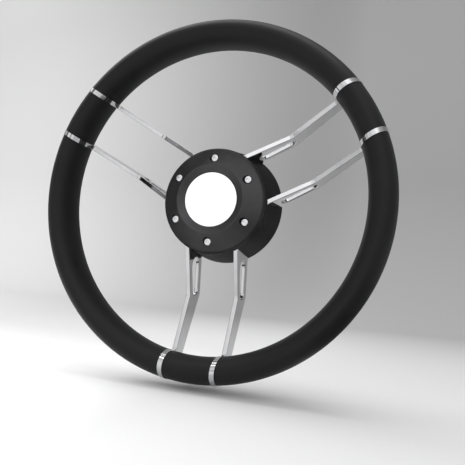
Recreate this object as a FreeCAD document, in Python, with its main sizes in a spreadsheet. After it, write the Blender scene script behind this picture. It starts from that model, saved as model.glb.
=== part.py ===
import FreeCAD, Part
import math
import os
import re
import Sketcher

# Boat steering wheel: an oval rim in six grips, three pairs of flat spokes and a round hub.
# Every piece is drawn lying down: the wheel's axis is Z, the back of the hub is at zero and the
# driver's side is up. A spoke is drawn on the +X side. Each piece is then stood up and turned, so
# that the finished wheel is upright with the driver at -Y and the shaft seat at the origin.

doc = FreeCAD.newDocument("boat_steering_wheel")

# Driving sizes in millimetres, angles in degrees
SIZES = [
    ("rim_outer_radius", 175.0),
    ("grip_half_width", 12.8),
    ("grip_half_depth", 20.3),
    ("rim_height", 62.0),
    ("core_radius", 5.0),
    ("core_clearance", 0.1),
    ("spoke_offset", 25.5),
    ("spoke_thickness", 4.5),
    ("spoke_edge_round", 0.6),
    ("spoke_bend_round", 9.0),
    ("ring_stand_proud", 0.5),
    ("kink_reach", 94.0),
    ("kink_back", 2.5),
    ("kink_front", 29.0),
    ("ring_back_angle", 19.0),
    ("ring_front_angle", 73.0),
    ("ring_joint_edge", 3.6),
    ("ring_joint_sink", 0.4),
    ("ring_joint_round", 4.0),
    ("foot_reach", 19.0),
    ("foot_back", 6.0),
    ("foot_clearance", 0.1),
    ("window_hub_gap", 11.4),
    ("window_kink_gap", 5.5),
    ("window_back_wall", 5.0),
    ("window_front_wall", 6.8),
    ("window_edge_round", 1.2),
    ("hub_back_radius", 59.8),
    ("hub_front_radius", 53.3),
    ("hub_split", 42.5),
    ("hub_back_round", 3.5),
    ("hub_recess_depth", 2.0),
    ("hub_recess_inner", 25.0),
    ("hub_recess_rim", 6.8),
    ("nut_room_clearance", 0.4),
    ("lock_rib_radius", 35.0),
    ("lock_rib_width", 2.0),
    ("lock_rib_depth", 4.0),
    ("face_bowl_width", 6.4),
    ("face_crest_rise", 17.5),
    ("face_edge_rise", 5.5),
    ("face_edge_draft", 0.4),
    ("face_edge_round", 6.5),
    ("face_crest_round", 1.2),
    ("screw_circle_radius", 41.2),
    ("screw_radius", 2.0),
    ("screw_head_radius", 3.8),
    ("screw_head_height", 2.2),
    ("screw_head_rim", 0.45),
    ("screw_head_shoulder_height", 1.7),
    ("screw_head_shoulder_radius", 3.6),
    ("screw_head_flat", 3.0),
    ("screw_length", 25.0),
    ("screw_clearance", 0.2),
    ("thread_clearance", 0.05),
    ("screw_socket_width", 2.5),
    ("screw_socket_depth", 1.3),
    ("screw_seat_rise", 9.7),
    ("screw_well_room", 0.5),
    ("screw_spare_depth", 2.0),
    ("cap_radius", 27.0),
    ("cap_sink", 3.9),
    ("cap_disc_thickness", 2.0),
    ("cap_disc_bevel", 0.4),
    ("cap_flange_thickness", 3.0),
    ("cap_flange_width", 2.8),
    ("cap_spigot_length", 7.0),
    ("cap_wall", 2.7),
    ("cap_clearance", 0.3),
    ("seal_radius", 0.75),
    ("seal_squeeze_room", 0.05),
    ("seal_depth", 3.6),
    ("bush_radius", 17.0),
    ("bush_clearance", 0.05),
    ("bush_flange_radius", 26.4),
    ("bush_flange_seat", 28.0),
    ("bush_flange_thickness", 6.0),
    ("shaft_radius", 9.525),
    ("shaft_taper", 12.0),
    ("key_width", 4.8),
    ("key_depth", 2.4),
    ("bush_screw_radius", 2.0),
    ("bush_screw_head_radius", 3.8),
    ("bush_screw_head_height", 2.3),
    ("bush_screw_length", 18.0),
    ("first_pair_angle", 30.0),
    ("cut_overshoot", 1.0),
]
PAIRS = 3
HALF_SECTOR = 180 / PAIRS
SCREWS = 6
NEAR = 0.01

sheet = doc.addObject("Spreadsheet::Sheet", "sizes")
for row, (alias, size) in enumerate(SIZES, start=1):
    sheet.set(f"A{row}", alias.replace("_", " "))
    sheet.set(f"B{row}", str(size))
    sheet.setAlias(f"B{row}", alias)
doc.recompute()

# Places worked out from the sizes, as formulas for the sheet
FORMULAS = [
    ("grip_centre_radius", "rim_outer_radius - grip_half_width"),
    ("ring_half_width", "grip_half_width + ring_stand_proud"),
    ("ring_half_depth", "grip_half_depth + ring_stand_proud"),
    ("slice_half_height", "ring_half_depth + cut_overshoot"),
    ("ring_reach", "sqrt(grip_centre_radius ^ 2 - spoke_offset ^ 2)"),
    ("blade_near_side", "spoke_offset - spoke_thickness / 2"),
    ("blade_far_side", "spoke_offset + spoke_thickness / 2"),
    ("hub_flare", "(hub_back_radius - hub_front_radius) / hub_split"),
    ("hub_radius_at_foot", "hub_back_radius - hub_flare * foot_back"),
    ("wall_back_reach", "sqrt(hub_radius_at_foot ^ 2 - blade_near_side ^ 2)"),
    ("wall_front_reach", "sqrt(hub_front_radius ^ 2 - blade_near_side ^ 2)"),
    ("back_slope", "(foot_back - kink_back) / (kink_reach - wall_back_reach)"),
    ("front_slope", "(hub_split - kink_front) / (kink_reach - wall_front_reach)"),
    ("window_inner_reach", "wall_back_reach + window_hub_gap"),
    ("window_outer_reach", "kink_reach - window_kink_gap"),
    ("window_walls", "window_back_wall + window_front_wall"),
    ("window_shift", "(window_back_wall - window_front_wall) / 2"),
    ("blade_back_inner", "kink_back + back_slope * (kink_reach - window_inner_reach)"),
    ("blade_front_inner", "kink_front + front_slope * (kink_reach - window_inner_reach)"),
    ("blade_back_outer", "kink_back + back_slope * (kink_reach - window_outer_reach)"),
    ("blade_front_outer", "kink_front + front_slope * (kink_reach - window_outer_reach)"),
    ("window_inner_height", "(blade_back_inner + blade_front_inner) / 2 + window_shift"),
    ("window_outer_height", "(blade_back_outer + blade_front_outer) / 2 + window_shift"),
    ("window_inner_radius", "(blade_front_inner - blade_back_inner - window_walls) / 2 - window_edge_round"),
    ("window_outer_radius", "(blade_front_outer - blade_back_outer - window_walls) / 2 - window_edge_round"),
    ("ring_touch_reach", "ring_reach - ring_half_width * sin(ring_front_angle)"),
    ("ring_touch_height", "rim_height - ring_half_depth * cos(ring_front_angle)"),
    ("ring_touch_across", "ring_half_width * cos(ring_front_angle)"),
    ("ring_touch_up", "ring_half_depth * sin(ring_front_angle)"),
    ("ring_touch_slant", "sqrt(ring_touch_across ^ 2 + ring_touch_up ^ 2)"),
    ("hub_recess_outer", "hub_back_radius - hub_recess_rim"),
    ("nut_room_radius", "bush_flange_radius + nut_room_clearance"),
    ("cap_mouth_radius", "cap_radius + cap_clearance"),
    ("face_crest_radius", "cap_mouth_radius + face_bowl_width"),
    ("face_crest_height", "hub_split + face_crest_rise"),
    ("face_edge_radius", "hub_front_radius - face_edge_draft"),
    ("face_edge_height", "hub_split + face_edge_rise"),
    ("screw_seat_height", "hub_split + screw_seat_rise"),
    ("screw_seat_radius", "screw_head_radius + screw_well_room"),
    ("cap_height", "face_crest_height - cap_sink"),
    ("cap_flange_top", "cap_height - cap_disc_thickness"),
    ("cap_seat_height", "cap_flange_top - cap_flange_thickness"),
    ("cap_spigot_end", "cap_seat_height - cap_spigot_length"),
    ("cap_spigot_radius", "cap_radius - cap_flange_width"),
    ("cap_bore_radius", "cap_spigot_radius + cap_clearance"),
    ("seal_height", "cap_seat_height - seal_depth"),
    ("seal_circle", "cap_bore_radius - seal_squeeze_room - seal_radius"),
    ("seal_groove_radius", "seal_circle - seal_radius"),
    ("bush_top", "bush_flange_seat + bush_flange_thickness"),
    ("bush_bore_top", "shaft_radius - bush_top / shaft_taper / 2"),
    ("bush_screw_circle", "(bush_radius + bush_flange_radius) / 2"),
    ("screw_hole_end", "screw_seat_height - screw_length - screw_spare_depth"),
    ("bush_screw_hole_end", "bush_top - bush_screw_length - screw_spare_depth"),
]
for row, (alias, formula) in enumerate(FORMULAS, start=len(SIZES) + 1):
    sheet.set(f"A{row}", alias.replace("_", " "))
    sheet.set(f"B{row}", "=" + formula)
    sheet.setAlias(f"B{row}", alias)
    doc.recompute()

ALIASES = {alias for alias, entry in SIZES + FORMULAS}


def bound(formula):
    """The formula with every alias written as the sheet's own cell."""
    def cell(word):
        return "sizes." + word.group() if word.group() in ALIASES else word.group()

    return re.sub("[a-z_]+", cell, formula)


def number(formula):
    return float(sheet.evalExpression(bound(formula)))


def bind(thing, setting, formula):
    thing.setExpression(setting, bound(formula))


def origin_plane(body, role):
    return [feature for feature in body.Origin.OriginFeatures if feature.Role == role][0]


def new_sketch(body, name, role, lift="0"):
    """A sketch on one of the body's own planes, moved along the plane's normal by a formula."""
    sketch = body.newObject("Sketcher::SketchObject", name)
    sketch.AttachmentSupport = [(origin_plane(body, role), "")]
    sketch.MapMode = "FlatFace"
    if lift != "0":
        bind(sketch, "AttachmentOffset.Base.z", lift)
    return sketch


def pin(sketch, line, end, across, up):
    """Hold one end of a line at a place given by two formulas."""
    for direction, formula in (("DistanceX", across), ("DistanceY", up)):
        rule = Sketcher.Constraint(direction, -1, 1, line, end, number(formula))
        index = sketch.addConstraint(rule)
        name = f"{direction}_{line}_{end}"
        sketch.renameConstraint(index, name)
        bind(sketch, f"Constraints.{name}", formula)


def polygon(sketch, corners):
    """A closed outline of straight lines through corners that are pairs of formulas."""
    places = [FreeCAD.Vector(number(across), number(up), 0) for across, up in corners]
    ends = places[1:] + places[:1]
    lines = [sketch.addGeometry(Part.LineSegment(start, end)) for start, end in zip(places, ends)]
    for index, (across, up) in enumerate(corners):
        sketch.addConstraint(Sketcher.Constraint("Coincident", lines[index - 1], 2, lines[index], 1))
        pin(sketch, lines[index], 1, across, up)


def turning_line(sketch, first, last):
    """A line to turn the outline about, through two places that are pairs of formulas."""
    ends = [FreeCAD.Vector(number(across), number(up), 0) for across, up in (first, last)]
    line = sketch.addGeometry(Part.LineSegment(ends[0], ends[1]), True)
    pin(sketch, line, 1, first[0], first[1])
    pin(sketch, line, 2, last[0], last[1])
    return line


def round_outline(sketch, radius, across="0", up="0"):
    """A circle whose radius and centre are formulas."""
    centre = FreeCAD.Vector(number(across), number(up), 0)
    circle = sketch.addGeometry(Part.Circle(centre, FreeCAD.Vector(0, 0, 1), number(radius)))
    rule = sketch.addConstraint(Sketcher.Constraint("Radius", circle, number(radius)))
    sketch.renameConstraint(rule, f"radius_{circle}")
    bind(sketch, f"Constraints.radius_{circle}", radius)
    pin(sketch, circle, 3, across, up)


def turned(body, name, corners, kind="PartDesign::Revolution"):
    """A turned form, or a turned cut, about the body's own upright axis."""
    sketch = new_sketch(body, name + "_outline", "XZ_Plane")
    polygon(sketch, corners)
    feature = body.newObject(kind, name)
    feature.Profile = sketch
    feature.ReferenceAxis = (sketch, ["V_Axis"])
    feature.Angle = 360
    doc.recompute()
    return feature


def hole_down(body, name, top, bottom, radius, across):
    """A round hole beside the axis, between two heights."""
    sketch = new_sketch(body, name + "_circle", "XY_Plane", top)
    round_outline(sketch, radius, across)
    feature = body.newObject("PartDesign::Pocket", name)
    feature.Profile = sketch
    bind(feature, "Length", f"({top}) - ({bottom})")
    doc.recompute()
    return feature


def around(body, name, features, count):
    """Repeat features round the axis."""
    pattern = body.newObject("PartDesign::PolarPattern", name)
    pattern.Originals = features
    pattern.Axis = (origin_plane(body, "Z_Axis"), [""])
    pattern.Angle = 360
    pattern.Occurrences = count
    body.Tip = pattern
    doc.recompute()
    return pattern


def rounded(body, name, base, edges, radius):
    feature = body.newObject("PartDesign::Fillet", name)
    feature.Base = (base, edges)
    bind(feature, "Radius", radius)
    doc.recompute()
    return feature


def edges_where(shape, test):
    """Names of the edges whose two ends both pass the test."""
    names = []
    for index, edge in enumerate(shape.Edges, start=1):
        if all(test(vertex.Point) for vertex in edge.Vertexes):
            names.append(f"Edge{index}")
    return names


def circles_at(shape, radius, height):
    """Names of the full circles round the axis with this radius at this height."""
    reach = number(radius)
    level = number(height)

    def on_circle(point):
        return abs(math.hypot(point.x, point.y) - reach) < NEAR and abs(point.z - level) < NEAR

    return edges_where(shape, on_circle)


UPRIGHT = FreeCAD.Rotation(FreeCAD.Vector(1, 0, 0), 90)
AXIS = FreeCAD.Vector(0, 0, 1)
ORIGIN = FreeCAD.Vector(0, 0, 0)
nodes = []


def finish(piece, label, angle=0):
    """Name a finished piece, stand it up and turn it to its place round the wheel's axis."""
    piece.Label = label
    piece.Placement = FreeCAD.Placement(ORIGIN, UPRIGHT.multiply(FreeCAD.Rotation(AXIS, angle)))
    nodes.append(piece)


# Rim: the grips' oval ring, the same ring grown for the spoke rings, and the core
def oval_ring(name, half_width, half_depth):
    section = doc.addObject("Part::Ellipse", name + "_section")
    bind(section, "MajorRadius", half_depth)
    bind(section, "MinorRadius", half_width)
    depth_way = FreeCAD.Vector(0, 0, 1)
    width_way = FreeCAD.Vector(1, 0, 0)
    across = FreeCAD.Vector(0, 1, 0)
    section.Placement = FreeCAD.Placement(ORIGIN, FreeCAD.Rotation(depth_way, width_way, across))
    bind(section, "Placement.Base.x", "grip_centre_radius")
    bind(section, "Placement.Base.z", "rim_height")
    ring = doc.addObject("Part::Revolution", name)
    ring.Source = section
    ring.Axis = AXIS
    ring.Base = ORIGIN
    ring.Angle = 360
    ring.Solid = True
    return ring


def round_ring(name, ring_radius, section_radius):
    ring = doc.addObject("Part::Torus", name)
    bind(ring, "Radius1", ring_radius)
    bind(ring, "Radius2", section_radius)
    return ring


def common(name, first, second):
    shared = doc.addObject("Part::Common", name)
    shared.Base = first
    shared.Tool = second
    return shared


def cut(name, base, tool):
    rest = doc.addObject("Part::Cut", name)
    rest.Base = base
    rest.Tool = tool
    return rest


def slab(name, near_side, far_side):
    """A flat block along +X that reaches past the rim, between two formulas across it."""
    block = doc.addObject("Part::Box", name)
    bind(block, "Length", "rim_outer_radius + ring_stand_proud + cut_overshoot - kink_reach")
    bind(block, "Width", f"({far_side}) - ({near_side})")
    bind(block, "Height", "2 * slice_half_height")
    bind(block, "Placement.Base.x", "kink_reach")
    bind(block, "Placement.Base.y", near_side)
    bind(block, "Placement.Base.z", "rim_height - slice_half_height")
    return block


def wedge(name):
    """A three-sided block between two neighbouring pairs, with its middle along +X."""
    body = doc.addObject("PartDesign::Body", name)
    sketch = new_sketch(body, name + "_outline", "XY_Plane", "rim_height - slice_half_height")
    tip = f"blade_far_side / sin({HALF_SECTOR})"
    reach = f"{tip} + 2 * rim_outer_radius * cos({HALF_SECTOR})"
    side = f"2 * rim_outer_radius * sin({HALF_SECTOR})"
    polygon(sketch, [(tip, "0"), (reach, side), (reach, f"0 - {side}")])
    pad = body.newObject("PartDesign::Pad", name + "_block")
    pad.Profile = sketch
    bind(pad, "Length", "2 * slice_half_height")
    return body


grip_form = oval_ring("grip_form", "grip_half_width", "grip_half_depth")
spoke_ring_form = oval_ring("spoke_ring_form", "ring_half_width", "ring_half_depth")
core_bore = round_ring("core_bore", "grip_centre_radius", "core_radius + core_clearance")
bind(core_bore, "Placement.Base.z", "rim_height")
core = round_ring("core", "grip_centre_radius", "core_radius")
finish(core, "rim_core")
bind(core, "Placement.Base.y", "0 - rim_height")

long_block = wedge("long_grip_block")
short_block = slab("short_grip_block", "0 - blade_near_side", "blade_near_side")
pair_angles = [number("first_pair_angle") + 360 / PAIRS * pair for pair in range(PAIRS)]
for name, block, angle in (
    ("grip_top", long_block, pair_angles[0] + HALF_SECTOR),
    ("grip_left", long_block, pair_angles[1] + HALF_SECTOR),
    ("grip_right", long_block, pair_angles[2] + HALF_SECTOR),
    ("grip_right_short", short_block, pair_angles[0]),
    ("grip_left_short", short_block, pair_angles[1]),
    ("grip_bottom_short", short_block, pair_angles[2]),
):
    arc = common(name + "_arc", grip_form, block)
    finish(cut(name + "_moulding", arc, core_bore), name, angle)


# Spokes: a cut plate with rounded edges, a tapered window through it and a ring at its end
RING_JOINT = (
    "ring_touch_reach + ring_joint_edge * ring_touch_across / ring_touch_slant",
    "ring_touch_height - ring_joint_edge * ring_touch_up / ring_touch_slant",
)
BLADE_CORNERS = [
    ("foot_reach", "foot_back"),
    ("wall_back_reach", "foot_back"),
    ("kink_reach", "kink_back"),
    ("ring_reach + ring_half_width * sin(ring_back_angle)",
     "rim_height - ring_half_depth * cos(ring_back_angle)"),
    ("ring_reach", "rim_height"),
    ("ring_touch_reach + ring_joint_sink", "ring_touch_height"),
    RING_JOINT,
    ("kink_reach", "kink_front"),
    ("wall_front_reach", "hub_split"),
    ("foot_reach", "hub_split"),
]


def arc_between(centre, start, end):
    """The arc that runs anticlockwise from start to end."""
    angles = [math.atan2(point.y - centre.y, point.x - centre.x) for point in (start, end)]
    circle = Part.Circle(centre, FreeCAD.Vector(0, 0, 1), (start - centre).Length)
    return Part.ArcOfCircle(circle, angles[0], angles[1])


WINDOW_ENDS = [
    ("window_inner_reach", "window_inner_height", "window_inner_radius"),
    ("window_outer_reach", "window_outer_height", "window_outer_radius"),
]


def window_outline(sketch):
    """Two round ends of different size and the two straight sides that touch them both."""
    centres = [FreeCAD.Vector(number(across), number(up), 0) for across, up, radius in WINDOW_ENDS]
    radii = [number(radius) for across, up, radius in WINDOW_ENDS]
    along = centres[1] - centres[0]
    lean = math.asin((radii[0] - radii[1]) / along.Length)
    along.normalize()
    side = FreeCAD.Vector(-along.y, along.x, 0)
    ways = [along * math.sin(lean) + side * sign * math.cos(lean) for sign in (1, -1)]
    inner = [centres[0] + way * radii[0] for way in ways]
    outer = [centres[1] + way * radii[1] for way in ways]
    upper = sketch.addGeometry(Part.LineSegment(inner[0], outer[0]))
    lower = sketch.addGeometry(Part.LineSegment(inner[1], outer[1]))
    inner_arc = sketch.addGeometry(arc_between(centres[0], inner[0], inner[1]))
    outer_arc = sketch.addGeometry(arc_between(centres[1], outer[1], outer[0]))
    for arc, (across, up, radius) in zip((inner_arc, outer_arc), WINDOW_ENDS):
        pin(sketch, arc, 3, across, up)
        rule = sketch.addConstraint(Sketcher.Constraint("Radius", arc, number(radius)))
        sketch.renameConstraint(rule, f"round_{arc}")
        bind(sketch, f"Constraints.round_{arc}", radius)
    sketch.addConstraint(Sketcher.Constraint("Tangent", upper, 1, inner_arc, 1))
    sketch.addConstraint(Sketcher.Constraint("Tangent", lower, 1, inner_arc, 2))
    sketch.addConstraint(Sketcher.Constraint("Tangent", upper, 2, outer_arc, 2))
    sketch.addConstraint(Sketcher.Constraint("Tangent", lower, 2, outer_arc, 1))


def face_edges(shape, test):
    """Names of the edges that run along the plate's faces and whose two ends both pass the test."""
    names = []
    for index, edge in enumerate(shape.Edges, start=1):
        first, last = edge.Vertexes[0].Point, edge.Vertexes[-1].Point
        if abs(first.y - last.y) < NEAR and test(first) and test(last):
            names.append(f"Edge{index}")
    return names


def blade(name):
    """The spoke's plate, drawn on the plane of the wheel's axis and padded to both sides."""
    body = doc.addObject("PartDesign::Body", name)
    sketch = new_sketch(body, name + "_outline", "XZ_Plane")
    polygon(sketch, BLADE_CORNERS)
    plate = body.newObject("PartDesign::Pad", name + "_plate")
    plate.Profile = sketch
    plate.Midplane = True
    bind(plate, "Length", "spoke_thickness")
    doc.recompute()

    def at_corner(across, up):
        reach, height = number(across), number(up)
        return lambda point: abs(point.x - reach) < NEAR and abs(point.z - height) < NEAR

    joint = edges_where(plate.Shape, at_corner(*RING_JOINT))
    joint_round = rounded(body, name + "_ring_joint", plate, joint, "ring_joint_round")
    kink_edges = edges_where(joint_round.Shape, at_corner("kink_reach", "kink_back"))
    kink_edges += edges_where(joint_round.Shape, at_corner("kink_reach", "kink_front"))
    bends = rounded(body, name + "_bends", joint_round, kink_edges, "spoke_bend_round")
    foot_end = number("foot_reach")
    in_ring_middle = at_corner("ring_reach", "rim_height")

    def on_long_side(point):
        return point.x > foot_end + NEAR and not in_ring_middle(point)

    long_edges = face_edges(bends.Shape, on_long_side)
    rounded(body, name + "_edges", bends, long_edges, "spoke_edge_round")
    window_sketch = new_sketch(body, name + "_window_outline", "XZ_Plane")
    window_outline(window_sketch)
    window = body.newObject("PartDesign::Pocket", name + "_window")
    window.Profile = window_sketch
    window.Midplane = True
    bind(window, "Length", "spoke_thickness")
    doc.recompute()
    ends = [[number(entry) for entry in end] for end in WINDOW_ENDS]

    def on_window(point):
        return any(abs(math.hypot(point.x - reach, point.z - height) - radius) < NEAR
                   for reach, height, radius in ends)

    rounded(body, name + "_window_edges", window, face_edges(window.Shape, on_window), "window_edge_round")
    return body


def lock_groove():
    """The ring-shaped room that the front ring's rib takes in the spoke feet and the hub."""
    sizes = ("lock_rib_radius + lock_rib_width + foot_clearance", "lock_rib_radius - foot_clearance")
    cylinders = []
    for name, radius in zip(("lock_groove_outside", "lock_groove_inside"), sizes):
        cylinder = doc.addObject("Part::Cylinder", name)
        bind(cylinder, "Radius", radius)
        bind(cylinder, "Height", "lock_rib_depth + foot_clearance + cut_overshoot")
        bind(cylinder, "Placement.Base.z", "hub_split - lock_rib_depth - foot_clearance")
        cylinders.append(cylinder)
    return cut("lock_groove", cylinders[0], cylinders[1])


spoke_cuts = doc.addObject("Part::Fuse", "spoke_cuts")
spoke_cuts.Base = core_bore
spoke_cuts.Tool = lock_groove()
for name, side, angle in (
    ("spoke_right_upper", 1, pair_angles[0]),
    ("spoke_right_lower", -1, pair_angles[0]),
    ("spoke_left_lower", 1, pair_angles[1]),
    ("spoke_left_upper", -1, pair_angles[1]),
    ("spoke_bottom_right", 1, pair_angles[2]),
    ("spoke_bottom_left", -1, pair_angles[2]),
):
    plate = blade(name + "_blade")
    bind(plate, "Placement.Base.y", f"{side} * spoke_offset")
    near = "blade_near_side" if side > 0 else "0 - blade_far_side"
    far = "blade_far_side" if side > 0 else "0 - blade_near_side"
    rim_end = common(name + "_ring", spoke_ring_form, slab(name + "_slice", near, far))
    whole = doc.addObject("Part::Fuse", name + "_whole")
    whole.Base = plate
    whole.Tool = rim_end
    finish(cut(name + "_cut", whole, spoke_cuts), name, angle)


# Hub body: a flared body with a slot for each spoke foot, room for the shaft nut and a bush bore
hub = doc.addObject("PartDesign::Body", "hub")
flare = turned(hub, "hub_flared", [
    ("bush_radius + bush_clearance", "0"),
    ("hub_back_radius", "0"),
    ("hub_front_radius", "hub_split"),
    ("nut_room_radius", "hub_split"),
    ("nut_room_radius", "bush_flange_seat"),
    ("bush_radius + bush_clearance", "bush_flange_seat"),
])
back_rim = circles_at(flare.Shape, "hub_back_radius", "0")
rounded(hub, "hub_back_edge", flare, back_rim, "hub_back_round")
turned(hub, "hub_recess", [
    ("hub_recess_inner", "0"),
    ("hub_recess_outer", "0"),
    ("hub_recess_outer - hub_recess_depth", "hub_recess_depth"),
    ("hub_recess_inner + hub_recess_depth", "hub_recess_depth"),
], "PartDesign::Groove")
turned(hub, "hub_lock_groove", [
    ("lock_rib_radius - foot_clearance", "hub_split"),
    ("lock_rib_radius + lock_rib_width + foot_clearance", "hub_split"),
    ("lock_rib_radius + lock_rib_width + foot_clearance", "hub_split - lock_rib_depth - foot_clearance"),
    ("lock_rib_radius - foot_clearance", "hub_split - lock_rib_depth - foot_clearance"),
], "PartDesign::Groove")


def foot_slot(name, lift):
    sketch = new_sketch(hub, name + "_outline", "XZ_Plane", lift)
    inner = "foot_reach - foot_clearance"
    outer = "hub_back_radius + cut_overshoot"
    polygon(sketch, [(inner, "foot_back"), (outer, "foot_back"), (outer, "hub_split"), (inner, "hub_split")])
    slot = hub.newObject("PartDesign::Pocket", name)
    slot.Profile = sketch
    slot.Midplane = True
    bind(slot, "Length", "spoke_thickness + 2 * foot_clearance")
    doc.recompute()
    return slot


slots = [foot_slot("near_slot", "0 - spoke_offset"), foot_slot("far_slot", "spoke_offset")]
around(hub, "spoke_slots", slots, PAIRS)
screw_hole = hole_down(hub, "screw_hole", "hub_split", "screw_hole_end", "screw_radius + thread_clearance",
                       "screw_circle_radius")
around(hub, "screw_holes", [screw_hole], SCREWS)
bush_hole = hole_down(hub, "bush_hole", "bush_flange_seat", "bush_screw_hole_end",
                      "bush_screw_radius + thread_clearance", "bush_screw_circle")
around(hub, "bush_holes", [bush_hole], SCREWS)
finish(hub, "hub_body", pair_angles[0])

# Hub front ring: a bowl round the cap, a sloping face, a rounded edge and a locking rib behind
front = doc.addObject("PartDesign::Body", "front")
face = turned(front, "front_turned", [
    ("cap_bore_radius", "hub_split"),
    ("lock_rib_radius", "hub_split"),
    ("lock_rib_radius", "hub_split - lock_rib_depth"),
    ("lock_rib_radius + lock_rib_width", "hub_split - lock_rib_depth"),
    ("lock_rib_radius + lock_rib_width", "hub_split"),
    ("hub_front_radius", "hub_split"),
    ("face_edge_radius", "face_edge_height"),
    ("face_crest_radius", "face_crest_height"),
    ("cap_mouth_radius", "cap_height"),
    ("cap_mouth_radius", "cap_seat_height"),
    ("cap_bore_radius", "cap_seat_height"),
])
outer_rim = circles_at(face.Shape, "face_edge_radius", "face_edge_height")
edge = rounded(front, "front_edge", face, outer_rim, "face_edge_round")
crest_rim = circles_at(edge.Shape, "face_crest_radius", "face_crest_height")
rounded(front, "front_crest", edge, crest_rim, "face_crest_round")
passage = hole_down(front, "screw_passage", "face_crest_height", "hub_split - lock_rib_depth",
                    "screw_radius + screw_clearance", "screw_circle_radius")
around(front, "screw_passages", [passage], SCREWS)
well = hole_down(front, "screw_well", "face_crest_height", "screw_seat_height", "screw_seat_radius",
                 "screw_circle_radius")
around(front, "screw_wells", [well], SCREWS)
finish(front, "hub_front_ring", pair_angles[0])


# Screws: button heads with a hexagon socket in front, countersunk ones on the bush
def hexagon(sketch, across, width):
    """A hexagon round a place on the sketch's own level line, by its width across the flats."""
    corner = f"({width}) / sqrt(3)"
    corners = []
    for index in range(6):
        turn = 60 * index
        corners.append((f"({across}) + {corner} * cos({turn})", f"{corner} * sin({turn})"))
    polygon(sketch, corners)


def screw_ring(label, centre, outline, top):
    """Six turned screws round the wheel's axis, with hexagon sockets."""
    body = doc.addObject("PartDesign::Body", label + "_body")
    sketch = new_sketch(body, label + "_outline", "XZ_Plane")
    turning_line(sketch, (centre, "0"), (centre, top))
    polygon(sketch, [(f"{centre} + {across}", up) for across, up in outline])
    screw = body.newObject("PartDesign::Revolution", label + "_screw")
    screw.Profile = sketch
    screw.ReferenceAxis = (sketch, ["Axis0"])
    screw.Angle = 360
    doc.recompute()
    socket_sketch = new_sketch(body, label + "_socket_outline", "XY_Plane", top)
    hexagon(socket_sketch, centre, "screw_socket_width")
    socket = body.newObject("PartDesign::Pocket", label + "_socket")
    socket.Profile = socket_sketch
    bind(socket, "Length", "screw_socket_depth")
    doc.recompute()
    around(body, label + "_all", [screw, socket], SCREWS)
    finish(body, label, pair_angles[0])


HEAD_TOP = "screw_seat_height + screw_head_height"
screw_ring("front_screws", "screw_circle_radius", [
    ("0", "screw_seat_height - screw_length"),
    ("screw_radius", "screw_seat_height - screw_length"),
    ("screw_radius", "screw_seat_height"),
    ("screw_head_radius", "screw_seat_height"),
    ("screw_head_radius", "screw_seat_height + screw_head_rim"),
    ("screw_head_shoulder_radius", "screw_seat_height + screw_head_shoulder_height"),
    ("screw_head_flat", HEAD_TOP),
    ("0", HEAD_TOP),
], HEAD_TOP)
screw_ring("bush_screws", "bush_screw_circle", [
    ("0", "bush_top - bush_screw_length"),
    ("bush_screw_radius", "bush_top - bush_screw_length"),
    ("bush_screw_radius", "bush_top - bush_screw_head_height"),
    ("bush_screw_head_radius", "bush_top"),
    ("0", "bush_top"),
], "bush_top")

# Shaft bush: a barrel with a flange, a tapered bore and a keyway that ends up at the top
bush = doc.addObject("PartDesign::Body", "bush")
turned(bush, "bush_turned", [
    ("shaft_radius", "0"),
    ("bush_radius", "0"),
    ("bush_radius", "bush_flange_seat"),
    ("bush_flange_radius", "bush_flange_seat"),
    ("bush_flange_radius", "bush_top"),
    ("bush_bore_top", "bush_top"),
])
keyway_sketch = new_sketch(bush, "keyway_outline", "XY_Plane", "bush_top")
key_top = "shaft_radius + key_depth"
polygon(keyway_sketch, [
    ("0", "0 - key_width / 2"),
    (key_top, "0 - key_width / 2"),
    (key_top, "key_width / 2"),
    ("0", "key_width / 2"),
])
keyway = bush.newObject("PartDesign::Pocket", "keyway")
keyway.Profile = keyway_sketch
bind(keyway, "Length", "bush_top")
doc.recompute()
sink_sketch = new_sketch(bush, "countersink_outline", "XZ_Plane")
turning_line(sink_sketch, ("bush_screw_circle", "0"), ("bush_screw_circle", "bush_top"))
polygon(sink_sketch, [
    ("bush_screw_circle", "bush_top"),
    ("bush_screw_circle", "bush_flange_seat"),
    ("bush_screw_circle + bush_screw_radius + screw_clearance", "bush_flange_seat"),
    ("bush_screw_circle + bush_screw_radius + screw_clearance",
     "bush_top - bush_screw_head_height"),
    ("bush_screw_circle + bush_screw_head_radius + screw_clearance", "bush_top"),
])
sink = bush.newObject("PartDesign::Groove", "countersink")
sink.Profile = sink_sketch
sink.ReferenceAxis = (sink_sketch, ["Axis0"])
sink.Angle = 360
doc.recompute()
around(bush, "countersinks", [sink], SCREWS)
finish(bush, "shaft_bush", pair_angles[0] + HALF_SECTOR)

# Cap: a plug with a groove for its rubber ring, and a bare disc on it
plug = doc.addObject("PartDesign::Body", "plug")
turned(plug, "plug_turned", [
    ("cap_spigot_radius - cap_wall", "cap_spigot_end"),
    ("cap_spigot_radius", "cap_spigot_end"),
    ("cap_spigot_radius", "seal_height - seal_radius - seal_squeeze_room"),
    ("seal_groove_radius", "seal_height - seal_radius - seal_squeeze_room"),
    ("seal_groove_radius", "seal_height + seal_radius + seal_squeeze_room"),
    ("cap_spigot_radius", "seal_height + seal_radius + seal_squeeze_room"),
    ("cap_spigot_radius", "cap_seat_height"),
    ("cap_radius", "cap_seat_height"),
    ("cap_radius", "cap_flange_top"),
    ("0", "cap_flange_top"),
    ("0", "cap_seat_height"),
    ("cap_spigot_radius - cap_wall", "cap_seat_height"),
])
finish(plug, "cap_cup")

seal = round_ring("seal", "seal_circle", "seal_radius")
finish(seal, "cap_o_ring")
bind(seal, "Placement.Base.y", "0 - seal_height")

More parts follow.
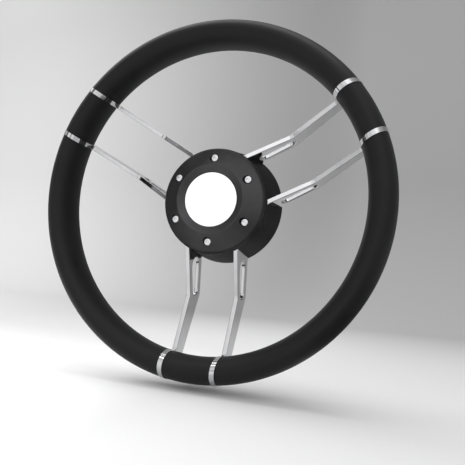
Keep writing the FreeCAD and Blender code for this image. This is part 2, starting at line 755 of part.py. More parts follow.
disc = doc.addObject("PartDesign::Body", "disc")
turned(disc, "disc_turned", [
    ("0", "cap_flange_top"),
    ("cap_radius", "cap_flange_top"),
    ("cap_radius", "cap_height - cap_disc_bevel"),
    ("cap_radius - cap_disc_bevel", "cap_height"),
    ("0", "cap_height"),
])
finish(disc, "cap_disc")

doc.recompute()
failed = [thing.Name for thing in doc.Objects if "Invalid" in thing.State or "Error" in thing.State]
for node in nodes:
    if node.Shape.isNull() or not node.Shape.isValid():
        failed.append(node.Label)
if failed:
    raise RuntimeError("these did not build: " + ", ".join(failed))
os.makedirs("parts", exist_ok=True)
for node in nodes:
    node.Shape.exportStep(f"parts/{node.Label}.step")
    print(f"{node.Label}: {len(node.Shape.Solids)} solid, {node.Shape.Volume:.0f} mm3")
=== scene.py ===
import math

import bmesh
import bpy
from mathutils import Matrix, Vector


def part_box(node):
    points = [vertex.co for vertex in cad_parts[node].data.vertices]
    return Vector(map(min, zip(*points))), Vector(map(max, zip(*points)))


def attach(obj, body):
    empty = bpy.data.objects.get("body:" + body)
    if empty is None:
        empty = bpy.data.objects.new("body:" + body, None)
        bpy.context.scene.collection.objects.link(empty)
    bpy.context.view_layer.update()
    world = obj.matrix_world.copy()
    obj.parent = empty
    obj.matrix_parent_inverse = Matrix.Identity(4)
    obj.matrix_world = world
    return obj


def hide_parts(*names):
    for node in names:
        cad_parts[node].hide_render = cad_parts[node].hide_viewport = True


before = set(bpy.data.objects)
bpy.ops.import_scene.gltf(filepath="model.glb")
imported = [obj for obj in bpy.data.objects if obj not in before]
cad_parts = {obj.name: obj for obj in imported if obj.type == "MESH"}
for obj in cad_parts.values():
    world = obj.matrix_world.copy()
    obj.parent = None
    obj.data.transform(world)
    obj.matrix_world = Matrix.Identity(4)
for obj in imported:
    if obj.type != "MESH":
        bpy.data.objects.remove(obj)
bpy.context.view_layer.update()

# Boat steering wheel: an oval rim in six moulded grips, three pairs of polished spokes whose ends
# ring the rim, and a black hub with six button screws and a polished cap. The driver sits at -Y,
# +Z is up, and the wheel's axis is Y. Lengths are in metres and angles in degrees, unless a name
# or a comment says otherwise.

MM = 0.001

# Sizes read from the frame
core_low, core_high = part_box("rim_core")
top_low, top_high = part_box("grip_top")
blade_low, blade_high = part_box("spoke_bottom_right")
CORE_RADIUS = (core_high.y - core_low.y) / 2
RIM_LEVEL = (core_high.y + core_low.y) / 2
RIM_RADIUS = core_high.z - CORE_RADIUS
GRIP_HALF_WIDTH = top_high.z - RIM_RADIUS
GRIP_HALF_DEPTH = (top_high.y - top_low.y) / 2
BLADE_NEAR = blade_low.x
BLADE_FAR = blade_high.x

# Pairs of spokes: the first one's direction from +X towards +Z, and the angle from pair to pair
FIRST_PAIR = 30
SECTOR = 120

# Grips: the play round the core, the round that the mould leaves at each end, and how finely they
# are drawn. An edge that turns by more than END_EDGE_TURN is rounded.
CORE_CLEARANCE = 0.1 * MM
GRIP_END_ROUND = 0.7 * MM
END_ROUND_SEGMENTS = 3
END_EDGE_TURN = 50
GRIP_STEPS_ROUND = 96
LONG_GRIP_STEPS = 120
SHORT_GRIP_STEPS = 24

# Screws, in millimetres: M4 threads at their real pitch, with a few rows of points to a turn, and
# heads 7.6 mm across with a hexagon socket that ends in a drilled cone
SCREW_COUNT = 6
SCREW_STEPS = 36
SHANK_RADIUS = 2.0
THREAD_PITCH = 0.7
THREAD_ROW = THREAD_PITCH / 4
THREAD_DEPTH = 0.38
SOCKET_WIDTH = 2.5
SOCKET_DEPTH = 1.3
SOCKET_CONE = 0.35
HEAD_REACH = 3.8
BUTTON_HEIGHT = 2.2
BUTTON_RIM = 0.45
BUTTON_FLAT = 3.0
DOME_STEPS = 8
SUNK_HEIGHT = 2.3
SUNK_EDGE = 0.1
SCREW_EDGE_TURN = 35

# Finishes: the cells, creases and pores of the grips' hide grain, the half widths of the mould line
# and of its crown, the patches in the plastic and the rubber, and the range of a noise pattern in
# which nearly all of it lies
HIDE_CELL_MM = 1.1
CREASE_SHARE = 0.25
PORE_MM = 0.5
PORE_SHARE = 0.35
MOULD_LINE = 0.4 * MM
MOULD_LINE_CROWN = 0.1 * MM
MOULDING_PATCH_MM = 6
PATCH_DETAIL = 3.0
NOISE_RANGE = {"From Min": 0.3, "From Max": 0.7}

# Camera: the photograph's view, with its lens and sensor in millimetres
CAMERA_PLACE = (0.18565, -0.53520, -0.07294)
CAMERA_TURN = (94.748, -4.779, 18.100)
CAMERA_LENS = 41.264
CAMERA_SENSOR = 36

# Room: a floor that sweeps up into a wall behind the wheel
FLOOR_LEVEL = -0.181
FLOOR_FRONT = -2.6
SWEEP_START = 0.9
SWEEP_RADIUS = 0.5
SWEEP_STEPS = 24
WALL_TOP = 3.2
ROOM_HALF_WIDTH = 4.0

# Paint: pairs of tones, and the spans over which one goes over into the other. The tones are painted
# light and shade:
# a painted pool of light, whitest on the floor in front on the left, that falls to painted shade far back
# on the right.
# A span is a direction, and how far along it the change starts and is complete. The change from the
# floor's tones to the wall's runs aslant on the left of the wheel and straight across on the right,
# because LEFT_HALF, the highest X,
# Y and Z that count for it, leaves no X there.
FLOOR_TONES = ("#f8f8f8", "#e0e0e0")
FLOOR_SPAN = ((1, 0.3, 0), -0.2, 0.35)
WALL_TONES = ("#dedede", "#929292")
WALL_SPAN = ((1, 0.63, 0), -0.73, 0.86)
DEPTH_SPAN = ((-2, 1, 0), -0.5, 1.85)
LEFT_HALF = (0, 100, 100)

# Painted light and shade: the whitest floor glows to the camera and the metal as painted light, and to
# the metal alone the floor glows far in front as a painted reflection and is dark in one field on the
# right as a painted dark reflection. Each has a strength and spans that bound it.
FLOOR_GLOW = 0.2
FLOOR_GLOW_SPANS = [((1, 0, 0), 0.0, -0.1), ((0, 1, 0), 0.25, -0.05)]
FRONT_GLOW = 0.5
FRONT_GLOW_SPANS = [((1, 0, 0), -0.05, 0.12), ((0, 1, 0), -0.7, -1.1)]
SIDE_SHADE = 0.8
SIDE_SHADE_SPANS = [
    ((1, 0, 0), 0.12, 0.16),
    ((1, 0, 0), 0.46, 0.38),
    ((0, 1, 0), -0.4, -0.3),
    ((-2, 1, 0), 0.0, -0.1),
]
SIDE_SHADE_TONE = "#202020"

# Studio surround: its strength in front, a fall towards the back, one bright soft patch and two dark
# gaps, each with its span and what it adds, and the strength that the camera itself sees
SKY_FRONT = 1.2
SKY_CHANGES = [
    ((0, 1, 0), -0.8, 0.1, -0.7),
    ((0.3, -0.8, 0.5), 0.78, 0.98, 0.6),
    ((-0.66, -0.69, 0.34), 0.94, 0.99, -0.95),
    ((0.3, -0.95, 0.1), 0.92, 0.985, -0.8),
]
SKY_SEEN = 0.82

# Lamp: one soft panel overhead
LAMP_PLACE = (-0.35, 0.05, 1.3)
LAMP_AIM = (0, 0, -0.1)
LAMP_WIDTH = 0.9
LAMP_LENGTH = 2.4
LAMP_POWER = 15


def linear(code):
    """An sRGB hex code as the linear colour that a shader takes."""
    parts = [int(code[i:i + 2], 16) / 255 for i in (1, 3, 5)]
    return [p / 12.92 if p <= 0.04045 else ((p + 0.055) / 1.055) ** 2.4 for p in parts] + [1.0]


def per(size_mm):
    """The scale of a pattern whose cells are this many millimetres wide."""
    return 1 / (size_mm * MM)


def add(tree, kind, inputs=None, **settings):
    """Add a node with its settings.

    An input takes a value, another node's socket, or another node for its first socket in use.
    """
    node = tree.nodes.new(kind)
    for name, value in settings.items():
        setattr(node, name, value)
    for name, value in (inputs or {}).items():
        if isinstance(value, bpy.types.Node):
            value = next(socket for socket in value.outputs if socket.enabled)
        if isinstance(value, bpy.types.NodeSocket):
            tree.links.new(value, node.inputs[name])
        else:
            node.inputs[name].default_value = value
    return node


def new_material(name):
    """An empty material with its tree and the place on the object in metres."""
    material = bpy.data.materials.new(name)
    material.use_nodes = True
    tree = material.node_tree
    tree.nodes.clear()
    place = add(tree, "ShaderNodeTexCoord").outputs["Object"]
    return material, tree, place


def close_material(tree, inputs):
    """Give a finish its shader, with these inputs, and its output."""
    shader = add(tree, "ShaderNodeBsdfPrincipled", inputs)
    add(tree, "ShaderNodeOutputMaterial", {"Surface": shader})


def blotched(tree, patches, colours):
    """A colour that wanders between two near ones with soft patches."""
    first, second = colours
    share = add(tree, "ShaderNodeMapRange", {"Value": patches, **NOISE_RANGE})
    return add(tree, "ShaderNodeMix", {0: share, 6: linear(first), 7: linear(second)}, data_type="RGBA")


def uneven(tree, place, patch_mm, colours, roughness):
    """Colour and roughness that wander between two values each, in the same patches of one size."""
    low, high = roughness
    patches = add(tree, "ShaderNodeTexNoise", {
        "Vector": place, "Scale": per(patch_mm), "Detail": PATCH_DETAIL})
    rough = add(tree, "ShaderNodeMapRange", {
        "Value": patches, **NOISE_RANGE, "To Min": low, "To Max": high})
    return {"Base Color": blotched(tree, patches, colours), "Roughness": rough}


def grained(tree, place, size_mm, depth_mm, strength, detail=2.0):
    """The normal of a surface with a fine, even grain."""
    grain = add(tree, "ShaderNodeTexNoise", {"Vector": place, "Scale": per(size_mm), "Detail": detail})
    return add(tree, "ShaderNodeBump", {
        "Strength": strength, "Distance": depth_mm * MM, "Height": grain})


def moulded_polyurethane():
    """Integral-skin polyurethane foam, moulded on the core: satin black with a fine hide grain.

    A faint line runs round the rim where the two halves of the mould met.
    """
    material, tree, place = new_material("moulded_polyurethane")
    cells = add(tree, "ShaderNodeTexVoronoi", {
        "Vector": place, "Scale": per(HIDE_CELL_MM), "Randomness": 1.0}, feature="DISTANCE_TO_EDGE")
    creases = add(tree, "ShaderNodeMapRange", {"Value": cells, "From Min": 0.0, "From Max": CREASE_SHARE})
    pores = add(tree, "ShaderNodeTexNoise", {"Vector": place, "Scale": per(PORE_MM)})
    hide = add(tree, "ShaderNodeMath", {0: pores, 1: PORE_SHARE, 2: creases}, operation="MULTIPLY_ADD")
    skin = add(tree, "ShaderNodeBump", {"Strength": 0.12, "Distance": 0.05 * MM, "Height": hide})
    level = add(tree, "ShaderNodeSeparateXYZ", {0: place}).outputs["Y"]
    offset = add(tree, "ShaderNodeMath", {0: level, 1: RIM_LEVEL}, operation="SUBTRACT")
    gap = add(tree, "ShaderNodeMath", {0: offset}, operation="ABSOLUTE")
    line = add(tree, "ShaderNodeMapRange", {
        "Value": gap, "From Min": MOULD_LINE_CROWN, "From Max": MOULD_LINE, "To Min": 1.0, "To Max": 0.0})
    lined = add(tree, "ShaderNodeBump", {
        "Strength": 0.5, "Distance": 0.1 * MM, "Height": line, "Normal": skin})
    close_material(tree, {
        **uneven(tree, place, patch_mm=28, colours=("#121213", "#18181a"), roughness=(0.45, 0.54)),
        "IOR": 1.48,
        "Specular IOR Level": 0.2,
        "Normal": lined,
    })
    return material


def polished_stainless():
    """Stainless plate, cut and buffed to a mirror: clear reflections under a soft haze.

    The buffing marks are drawn wider than real ones, so that they show.
    """
    material, tree, place = new_material("polished_stainless")
    close_material(tree, {
        **uneven(tree, place, patch_mm=14, colours=("#b9b9bb", "#c0c0c1"), roughness=(0.04, 0.09)),
        "Metallic": 1.0,
        "Normal": grained(tree, place, size_mm=0.8, depth_mm=0.01, strength=0.05, detail=1.0),
    })
    return material


def turned_metal(name, colours, roughness, groove_mm, groove_strength):
    """Metal faced on a lathe: fine rings round the wheel's axis, drawn coarse enough to show."""
    material, tree, place = new_material(name)
    flat = add(tree, "ShaderNodeVectorMath", {0: place, 1: (1, 0, 1)}, operation="MULTIPLY")
    distance = add(tree, "ShaderNodeVectorMath", {0: flat}, operation="LENGTH")
    cycles = add(tree, "ShaderNodeMath", {0: distance, 1: per(groove_mm) * math.tau},
                 operation="MULTIPLY")
    rings = add(tree, "ShaderNodeMath", {0: cycles}, operation="SINE")
    close_material(tree, {
        **uneven(tree, place, patch_mm=9, colours=colours, roughness=roughness),
        "Metallic": 1.0,
        "Normal": add(tree, "ShaderNodeBump", {
            "Strength": groove_strength, "Distance": 0.02 * MM, "Height": rings}),
    })
    return material


def black_anodised():
    """Turned aluminium, anodised satin black: an even dark skin whose grain glancing light shows.

    The grain is drawn coarser than a real one, so that it shows.
    """
    material, tree, place = new_material("black_anodised")
    close_material(tree, {
        **uneven(tree, place, patch_mm=18, colours=("#3f3f40", "#464647"), roughness=(0.36, 0.42)),
        "Metallic": 0.8,
        "Specular Tint": linear("#6a6a6c"),
        "Normal": grained(tree, place, size_mm=0.6, depth_mm=0.03, strength=0.08, detail=3.0),
    })
    return material


def black_moulding(name, colours, roughness):
    """Moulded black plastic or pressed rubber inside the hub: matt and faintly grained."""
    material, tree, place = new_material(name)
    patches = add(tree, "ShaderNodeTexNoise", {
        "Vector": place, "Scale": per(MOULDING_PATCH_MM), "Detail": PATCH_DETAIL})
    close_material(tree, {
        "Base Color": blotched(tree, patches, colours),
        "Roughness": roughness,
        "Normal": grained(tree, place, size_mm=0.4, depth_mm=0.02, strength=0.1),
    })
    return material


GRIP = moulded_polyurethane()
MIRROR_STEEL = polished_stainless()
BLACK_HUB = black_anodised()

# Spun and polished aluminium: nearly white, with rings so shallow that they only soften the shine
CAP_METAL = turned_metal("spun_aluminium", ("#f6f6f7", "#f9f9fa"), (0.15, 0.17),
                         groove_mm=0.9, groove_strength=0.04)

# Steel of bright machine screws: a soft shine, on which the rings read as faint straight lines
SCREW_STEEL = turned_metal("bright_screw_steel", ("#c9c9cb", "#d6d6d8"), (0.2, 0.28),
                           groove_mm=0.5, groove_strength=0.05)

# Faced mild steel, bare inside the hub and the rim: greyer, with tool marks that can be seen
BARE_STEEL = turned_metal("faced_steel", ("#b4b5b8", "#c4c5c8"), (0.24, 0.34),
                          groove_mm=1.1, groove_strength=0.25)

# Acetal and nitrile: black, the plastic with a dull sheen and the rubber with hardly any
PLUG_PLASTIC = black_moulding("acetal_plastic", ("#101011", "#161617"), roughness=0.5)
SEAL_RUBBER = black_moulding("nitrile_rubber", ("#0c0c0c", "#121212"), roughness=0.7)


def put(name, data):
    """A new object in the scene, with this mesh, lamp or camera."""
    thing = bpy.data.objects.new(name, data)
    bpy.context.scene.collection.objects.link(thing)
    return thing


def ride_for(piece, node):
    """The piece stands for a CAD node: it rides on the wheel, and the node is hidden."""
    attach(piece, "root")
    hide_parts(node)


def keep_result(piece):
    """Turn a piece and its modifiers into one plain mesh."""
    depsgraph = bpy.context.evaluated_depsgraph_get()
    result = bpy.data.meshes.new_from_object(piece.evaluated_get(depsgraph))
    piece.modifiers.clear()
    piece.data = result
    result.name = piece.name


def outwards(mesh, turn=None):
    """Face all faces outwards. With a turn, first close the two ends of a bored bar about it."""
    shape = bmesh.new()
    shape.from_mesh(mesh)
    if turn is not None:
        way_round = Vector((-math.sin(turn), 0, math.cos(turn)))
        rims = [edge for edge in shape.edges if edge.is_boundary]
        for side in (-1, 1):
            end = [edge for edge in rims if edge.verts[0].co.dot(way_round) * side > 0]
            bmesh.ops.bridge_loops(shape, edges=end)
    bmesh.ops.recalc_face_normals(shape, faces=shape.faces)
    shape.to_mesh(mesh)
    shape.free()


def add_rule(piece, tree, values):
    """Put a geometry tree on a piece, and set its inputs by the names that they show."""
    rule = piece.modifiers.new("rule", "NODES")
    rule.node_group = tree
    for socket in tree.interface.items_tree:
        if socket.in_out == "INPUT" and socket.name in values:
            rule[socket.identifier] = values[socket.name]


def rule_tree(name, numbers, counts):
    """A geometry tree with named number and count inputs and a finish."""
    tree = bpy.data.node_groups.new(name, "GeometryNodeTree")
    tree.interface.new_socket("Geometry", in_out="INPUT", socket_type="NodeSocketGeometry")
    for label in numbers:
        tree.interface.new_socket(label, in_out="INPUT", socket_type="NodeSocketFloat")
    for label in counts:
        tree.interface.new_socket(label, in_out="INPUT", socket_type="NodeSocketInt")
    tree.interface.new_socket("Finish", in_out="INPUT", socket_type="NodeSocketMaterial")
    tree.interface.new_socket("Geometry", in_out="OUTPUT", socket_type="NodeSocketGeometry")
    start = add(tree, "NodeGroupInput")
    return tree, start.outputs


def close_rule(tree, geometry, finish):
    """Smooth, realize and paint what a tree has made."""
    smooth = add(tree, "GeometryNodeSetShadeSmooth", {"Geometry": geometry})
    real = add(tree, "GeometryNodeRealizeInstances", {"Geometry": smooth})
    painted = add(tree, "GeometryNodeSetMaterial", {"Geometry": real, "Material": finish})
    add(tree, "NodeGroupOutput", {0: painted})


def grip_rule():
    """Two straight round bars, the skin and the bore, are bent along the rim and pressed to size.

    The ends are cut off flat beside the spokes. That cut stands at a constant offset from the line
    through the middle of a pair of spokes, so the bar's half angle depends on how far from the axis
    each point lies.
    """
    tree, given = rule_tree(
        "grip_rule",
        ["Rim radius", "Half width", "Half depth", "Bore radius", "Rim level", "Half sector",
         "End offset", "Turn"],
        ["Steps along", "Steps round"])
    line = add(tree, "GeometryNodeCurvePrimitiveLine", {"Start": (-1, 0, 0), "End": (1, 0, 0)})
    steps = add(tree, "GeometryNodeResampleCurve", {0: line, "Count": given["Steps along"]})
    circle = add(tree, "GeometryNodeCurvePrimitiveCircle", {0: given["Steps round"], "Radius": 1.0})
    bar = add(tree, "GeometryNodeCurveToMesh", {0: steps, 1: circle})
    narrow = add(tree, "ShaderNodeMath", {0: given["Bore radius"], 1: given["Half width"]},
                 operation="DIVIDE")
    shallow = add(tree, "ShaderNodeMath", {0: given["Bore radius"], 1: given["Half depth"]},
                  operation="DIVIDE")
    shrink = add(tree, "ShaderNodeCombineXYZ", {0: 1.0, 1: narrow, 2: shallow})
    bore = add(tree, "GeometryNodeTransform", {0: bar, "Scale": shrink})
    inward = add(tree, "GeometryNodeFlipFaces", {0: bore})
    both = add(tree, "GeometryNodeJoinGeometry", {0: bar})
    tree.links.new(inward.outputs[0], both.inputs[0])
    place = add(tree, "GeometryNodeInputPosition")
    along, outward, deep = add(tree, "ShaderNodeSeparateXYZ", {0: place}).outputs
    reach = add(tree, "ShaderNodeMath", {0: outward, 1: given["Half width"], 2: given["Rim radius"]},
                operation="MULTIPLY_ADD")
    level = add(tree, "ShaderNodeMath", {0: deep, 1: given["Half depth"], 2: given["Rim level"]},
                operation="MULTIPLY_ADD")
    share = add(tree, "ShaderNodeMath", {0: given["End offset"], 1: reach}, operation="DIVIDE")
    lean = add(tree, "ShaderNodeMath", {0: share}, operation="ARCSINE")
    half = add(tree, "ShaderNodeMath", {0: given["Half sector"], 1: lean}, operation="ADD")
    angle = add(tree, "ShaderNodeMath", {0: along, 1: half, 2: given["Turn"]}, operation="MULTIPLY_ADD")
    cosine = add(tree, "ShaderNodeMath", {0: angle}, operation="COSINE")
    sine = add(tree, "ShaderNodeMath", {0: angle}, operation="SINE")
    across = add(tree, "ShaderNodeMath", {0: reach, 1: cosine}, operation="MULTIPLY")
    up = add(tree, "ShaderNodeMath", {0: reach, 1: sine}, operation="MULTIPLY")
    target = add(tree, "ShaderNodeCombineXYZ", {0: across, 1: level, 2: up})
    bent = add(tree, "GeometryNodeSetPosition", {0: both, "Position": target})
    close_rule(tree, bent, given["Finish"])
    return tree


def moulded_grip(node, half_sector, end_offset, turn, steps_along):
    """One grip about its turn, with the mould's round at its ends."""
    piece = put(node + "_moulding", bpy.data.meshes.new(node))
    add_rule(piece, GRIP_TREE, {
        "Rim radius": RIM_RADIUS,
        "Half width": GRIP_HALF_WIDTH,
        "Half depth": GRIP_HALF_DEPTH,
        "Bore radius": CORE_RADIUS + CORE_CLEARANCE,
        "Rim level": RIM_LEVEL,
        "Half sector": math.radians(half_sector),
        "End offset": end_offset,
        "Turn": math.radians(turn),
        "Steps along": steps_along,
        "Steps round": GRIP_STEPS_ROUND,
        "Finish": GRIP,
    })
    keep_result(piece)
    outwards(piece.data, math.radians(turn))
    edge = piece.modifiers.new("moulded_edge", "BEVEL")
    edge.width = GRIP_END_ROUND
    edge.segments = END_ROUND_SEGMENTS
    edge.limit_method = "ANGLE"
    edge.angle_limit = math.radians(END_EDGE_TURN)
    edge.harden_normals = True
    keep_result(piece)
    ride_for(piece, node)


def axis_rule():
    """Repeat a piece at equal steps round the wheel's axis."""
    tree, given = rule_tree("axis_rule", [], ["Count"])
    spots = add(tree, "GeometryNodePoints", {"Count": given["Count"]})
    index = add(tree, "GeometryNodeInputIndex")
    step = add(tree, "ShaderNodeMath", {0: math.tau, 1: given["Count"]}, operation="DIVIDE")
    turn = add(tree, "ShaderNodeMath", {0: index, 1: step}, operation="MULTIPLY")
    spin = add(tree, "ShaderNodeCombineXYZ", {1: turn})
    copies = add(tree, "GeometryNodeInstanceOnPoints", {
        "Points": spots, "Instance": given["Geometry"], "Rotation": spin})
    close_rule(tree, copies, given["Finish"])
    return tree


def button_head(top):
    """A button head from its seat to its flat top: the reach and the height of each ring, in mm."""
    seat = top - BUTTON_HEIGHT
    rings = [(SHANK_RADIUS, seat), (HEAD_REACH, seat), (HEAD_REACH, seat + BUTTON_RIM)]
    for step in range(1, DOME_STEPS + 1):
        lift = math.pi / 2 * step / DOME_STEPS
        rings.append((BUTTON_FLAT + (HEAD_REACH - BUTTON_FLAT) * math.cos(lift),
                      seat + BUTTON_RIM + (BUTTON_HEIGHT - BUTTON_RIM) * math.sin(lift)))
    return rings


def sunk_head(top):
    """A countersunk head from the end of its cone to its flat top, as rings of the same kind."""
    return [
        (SHANK_RADIUS, top - SUNK_HEIGHT),
        (HEAD_REACH - SUNK_EDGE, top - 2 * SUNK_EDGE),
        (HEAD_REACH, top - SUNK_EDGE),
        (HEAD_REACH - SUNK_EDGE, top),
    ]


def hexagon_reach(angle):
    """Distance from the middle of the socket to its side in this direction, in mm."""
    sixth = math.pi / 3
    return SOCKET_WIDTH / 2 / math.cos(angle % sixth - sixth / 2)


def screw_rings(head, top, shank_end):
    """Rings of points from the shank's end up over the head and down into the socket, in mm.

    Each ring is a height and a function that gives its reach in a direction.
    """
    rings = [(shank_end, lambda angle: SHANK_RADIUS - THREAD_DEPTH)]
    rows = round((head[0][1] - shank_end) / THREAD_ROW)
    for row in range(1, rows):
        height = shank_end + row * THREAD_ROW

        def thread(angle, height=height):
            phase = (height / THREAD_PITCH - angle / math.tau) % 1
            return SHANK_RADIUS - THREAD_DEPTH * abs(2 * phase - 1)

        rings.append((height, thread))
    for reach, height in head:
        rings.append((height, lambda angle, reach=reach: reach))
    for height in (top, top - SOCKET_DEPTH):
        rings.append((height, hexagon_reach))
    return rings


def screw_mesh(name, circle, rings):
    """One screw through its rings, at the top of its circle, with its head towards the driver."""
    corners = []
    for height, reach in rings:
        for step in range(SCREW_STEPS):
            angle = math.tau * step / SCREW_STEPS
            size = reach(angle)
            corners.append((size * math.cos(angle), -height, circle + size * math.sin(angle)))
    faces = []
    for ring in range(len(rings) - 1):
        for step in range(SCREW_STEPS):
            following = (step + 1) % SCREW_STEPS
            low = ring * SCREW_STEPS
            high = low + SCREW_STEPS
            faces.append((low + step, low + following, high + following, high + step))
    for ring, height in ((0, rings[0][0]), (len(rings) - 1, rings[-1][0] - SOCKET_CONE)):
        middle = len(corners)
        corners.append((0, -height, circle))
        low = ring * SCREW_STEPS
        for step in range(SCREW_STEPS):
            faces.append((middle, low + step, low + (step + 1) % SCREW_STEPS))
    mesh = bpy.data.meshes.new(name)
    mesh.from_pydata([[value * MM for value in corner] for corner in corners], [], faces)
    outwards(mesh)
    return mesh


def screw_ring(node, head_shape):
    """All the screws of one node, whose heads and ends reach as far as its box."""
    low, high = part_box(node)
    top = -low.y / MM
    rings = screw_rings(head_shape(top), top, -high.y / MM)
    piece = put(node + "_cut", screw_mesh(node, high.z / MM - HEAD_REACH, rings))
    add_rule(piece, AXIS_TREE, {"Count": SCREW_COUNT, "Finish": SCREW_STEEL})
    keep_result(piece)
    piece.data.set_sharp_from_angle(angle=math.radians(SCREW_EDGE_TURN))
    ride_for(piece, node)


# Grips: long ones between neighbouring pairs of spokes, short ones inside a pair
GRIP_TREE = grip_rule()
for index, node in enumerate(("grip_top", "grip_left", "grip_right")):
    moulded_grip(node, SECTOR / 2, -BLADE_FAR, FIRST_PAIR + SECTOR * (index + 0.5), LONG_GRIP_STEPS)
for index, node in enumerate(("grip_right_short", "grip_left_short", "grip_bottom_short")):
    moulded_grip(node, 0, BLADE_NEAR, FIRST_PAIR + SECTOR * index, SHORT_GRIP_STEPS)

# Screws: button heads on the hub's face, countersunk ones inside it, all with hexagon sockets
AXIS_TREE = axis_rule()
screw_ring("front_screws", button_head)
screw_ring("bush_screws", sunk_head)

# CAD nodes that keep their shape and take a better finish
for material, nodes in (
        (MIRROR_STEEL, ("spoke_right_upper", "spoke_right_lower", "spoke_left_lower",
                        "spoke_left_upper", "spoke_bottom_right", "spoke_bottom_left")),
        (BLACK_HUB, ("hub_body", "hub_front_ring")),
        (CAP_METAL, ("cap_disc",)),
        (PLUG_PLASTIC, ("cap_cup",)),
        (SEAL_RUBBER, ("cap_o_ring",)),
        (BARE_STEEL, ("shaft_bush", "rim_core"))):
    for node in nodes:
        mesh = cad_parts[node].data
        mesh.materials.clear()
        mesh.materials.append(material)


def fade(tree, place, spans, strength=1.0):
    """A strength that comes in along each of these spans, and is full where all of them are complete."""
    for direction, start, full in spans:
        along = add(tree, "ShaderNodeVectorMath", {0: place, 1: direction}, operation="DOT_PRODUCT")
        strength = add(tree, "ShaderNodeMapRange", {
            "Value": along, "From Min": start, "From Max": full, "To Max": strength},
            interpolation_type="SMOOTHSTEP")
    return strength


def backdrop_material():
    """Matt paint with painted light and shade: a painted pool of light, whitest on the floor in front on
    the left, and painted shade, greyest far back on the right.

    The floor glow is painted light. The front glow is a painted reflection and the shade is a painted
    dark reflection, and the metal alone sees these two. The sheet can be seen through from behind and
    from below.
    """
    material, tree, place = new_material("pale_paint_and_painted_light")
    tones = []
    # Painted light and shade: the floor's and the wall's tone gradients
    for (first, second), span in ((FLOOR_TONES, FLOOR_SPAN), (WALL_TONES, WALL_SPAN)):
        tones.append(add(tree, "ShaderNodeMix", {
            0: fade(tree, place, [span]), 6: linear(first), 7: linear(second)}, data_type="RGBA"))
    floor, wall = tones
    left = add(tree, "ShaderNodeVectorMath", {0: place, 1: LEFT_HALF}, operation="MINIMUM")
    sheet = add(tree, "ShaderNodeMix", {0: fade(tree, left, [DEPTH_SPAN]), 6: floor, 7: wall},
                data_type="RGBA")
    rays = add(tree, "ShaderNodeLightPath").outputs
    mirrored = rays["Is Glossy Ray"]
    seen = add(tree, "ShaderNodeMath", {0: rays["Is Camera Ray"], 1: mirrored},
               operation="ADD", use_clamp=True)
    # Painted light and shade: the painted dark reflection, the floor's painted glow and the painted
    # reflection in front
    fields = []
    for strength, ray, spans in ((SIDE_SHADE, mirrored, SIDE_SHADE_SPANS),
                                 (FLOOR_GLOW, seen, FLOOR_GLOW_SPANS),
                                 (FRONT_GLOW, mirrored, FRONT_GLOW_SPANS)):
        full = add(tree, "ShaderNodeMath", {0: ray, 1: strength}, operation="MULTIPLY")
        fields.append(fade(tree, place, spans, full))
    shade, floor_glow, front_glow = fields
    shaded = add(tree, "ShaderNodeMix", {0: shade, 6: sheet, 7: linear(SIDE_SHADE_TONE)},
                 data_type="RGBA")
    paint = add(tree, "ShaderNodeBsdfDiffuse", {"Color": shaded})
    glow = add(tree, "ShaderNodeMath", {0: floor_glow, 1: front_glow}, operation="ADD")
    shine = add(tree, "ShaderNodeEmission", {"Color": (1, 1, 1, 1), "Strength": glow})
    lit = add(tree, "ShaderNodeAddShader", {0: paint, 1: shine})
    under = add(tree, "ShaderNodeBsdfTransparent")
    side = add(tree, "ShaderNodeNewGeometry").outputs["Backfacing"]
    shader = add(tree, "ShaderNodeMixShader", {0: side, 1: lit, 2: under})
    add(tree, "ShaderNodeOutputMaterial", {"Surface": shader})
    return material


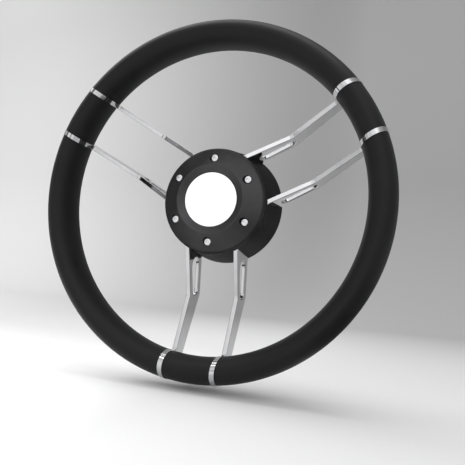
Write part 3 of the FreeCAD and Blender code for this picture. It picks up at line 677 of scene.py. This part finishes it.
def backdrop():
    """Floor, sweep and wall as one smooth sheet."""
    profile = [(FLOOR_FRONT, FLOOR_LEVEL)]
    for step in range(SWEEP_STEPS + 1):
        angle = math.pi / 2 * step / SWEEP_STEPS
        profile.append((SWEEP_START + SWEEP_RADIUS * math.sin(angle),
                        FLOOR_LEVEL + SWEEP_RADIUS * (1 - math.cos(angle))))
    profile.append((SWEEP_START + SWEEP_RADIUS, WALL_TOP))
    corners = [(x, y, z) for y, z in profile for x in (-ROOM_HALF_WIDTH, ROOM_HALF_WIDTH)]
    faces = [(2 * i, 2 * i + 1, 2 * i + 3, 2 * i + 2) for i in range(len(profile) - 1)]
    mesh = bpy.data.meshes.new("backdrop")
    mesh.from_pydata(corners, [], faces)
    for face in mesh.polygons:
        face.use_smooth = True
    mesh.materials.append(backdrop_material())
    put("backdrop", mesh)


def surround():
    """Studio surround: paler in front, grey behind, and plain where the camera looks past the room."""
    world = bpy.data.worlds.new("studio")
    bpy.context.scene.world = world
    world.use_nodes = True
    tree = world.node_tree
    tree.nodes.clear()
    way = add(tree, "ShaderNodeTexCoord").outputs["Generated"]
    strength = SKY_FRONT
    for toward, start, full, amount in SKY_CHANGES:
        change = fade(tree, way, [(Vector(toward).normalized(), start, full)], amount)
        strength = add(tree, "ShaderNodeMath", {0: strength, 1: change}, operation="ADD")
    seen = add(tree, "ShaderNodeLightPath").outputs["Is Camera Ray"]
    plain = add(tree, "ShaderNodeMix", {0: seen, 2: strength, 3: SKY_SEEN})
    background = add(tree, "ShaderNodeBackground", {"Color": (1, 1, 1, 1), "Strength": plain})
    add(tree, "ShaderNodeOutputWorld", {"Surface": background})


def overhead_lamp():
    """One soft rectangular panel, turned to the wheel."""
    data = bpy.data.lights.new("overhead_lamp", "AREA")
    data.shape = "RECTANGLE"
    data.size = LAMP_WIDTH
    data.size_y = LAMP_LENGTH
    data.energy = LAMP_POWER
    lamp = put("overhead_lamp", data)
    lamp.location = LAMP_PLACE
    lamp.rotation_euler = (Vector(LAMP_AIM) - Vector(LAMP_PLACE)).to_track_quat("-Z", "Y").to_euler()


def photo_camera():
    """The photograph's view, as the wheel's outlines in it gave it."""
    data = bpy.data.cameras.new("camera")
    data.lens = CAMERA_LENS
    data.sensor_width = CAMERA_SENSOR
    camera = put("camera", data)
    camera.location = CAMERA_PLACE
    camera.rotation_euler = [math.radians(angle) for angle in CAMERA_TURN]
    bpy.context.scene.camera = camera


# Room, lamp and camera
backdrop()
surround()
overhead_lamp()
photo_camera()
bpy.context.scene.view_settings.view_transform = "Standard"
